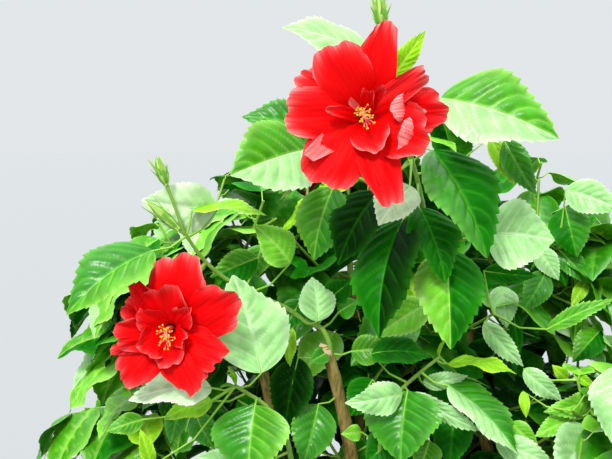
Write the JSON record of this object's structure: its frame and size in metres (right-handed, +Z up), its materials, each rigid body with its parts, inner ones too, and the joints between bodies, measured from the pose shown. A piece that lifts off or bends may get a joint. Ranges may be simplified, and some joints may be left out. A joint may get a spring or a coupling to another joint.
{
  "type": "hibiscus shrub",
  "caption": "Rooted garden hibiscus shrub with a short trunk, upright stems, toothed glossy leaves in open sprays and large double red blooms.",
  "frame": {"origin": "middle of the flat cut under the trunk, at ground level", "axes": "+Z straight up the shrub; -Y is the side that the picture shows"},
  "size_m": [0.7761, 0.7616, 1.3682],
  "materials": {
    "bark": "rough tan-grey bark",
    "foliage": "glossy green leaf",
    "petals": "satin red petal"
  },
  "bodies": {
    "root": {"trunk": "bark", "stem_left": "bark", "stem_right": "bark", "stem_back": "bark", "stem_back_left": "bark", "stem_back_right": "bark", "stem_front": "bark", "near_left_bough": "bark", "near_middle_bough": "bark", "upper_right_bough": "bark", "upper_back_bough": "bark", "upper_left_bough": "bark", "middle_right_bough": "bark", "middle_back_right_bough": "bark", "middle_back_left_bough": "bark", "middle_left_bough": "bark", "middle_front_left_bough": "bark", "middle_front_bough": "bark", "low_right_bough": "bark", "low_back_bough": "bark", "low_left_bough": "bark", "low_front_bough": "bark", "upper_bloom": "petals", "left_bloom": "petals", "top_back_bloom": "petals", "upper_back_bloom": "petals", "middle_right_bloom": "petals", "middle_left_bloom": "petals", "upper_flowering_spray": "foliage", "left_flowering_spray": "foliage", "near_left_leafy_spray": "foliage", "near_middle_leafy_spray": "foliage", "top_back_spray": "foliage", "top_left_spray": "foliage", "top_right_spray": "foliage", "upper_front_right_spray": "foliage", "upper_right_spray": "foliage", "upper_back_spray": "foliage", "upper_left_spray": "foliage", "middle_right_spray": "foliage", "middle_back_right_spray": "foliage", "middle_back_left_spray": "foliage", "middle_left_spray": "foliage", "middle_front_left_spray": "foliage", "middle_front_spray": "foliage", "low_right_spray": "foliage", "low_back_spray": "foliage", "low_left_spray": "foliage", "low_front_spray": "foliage"}
  },
  "joints": []
}
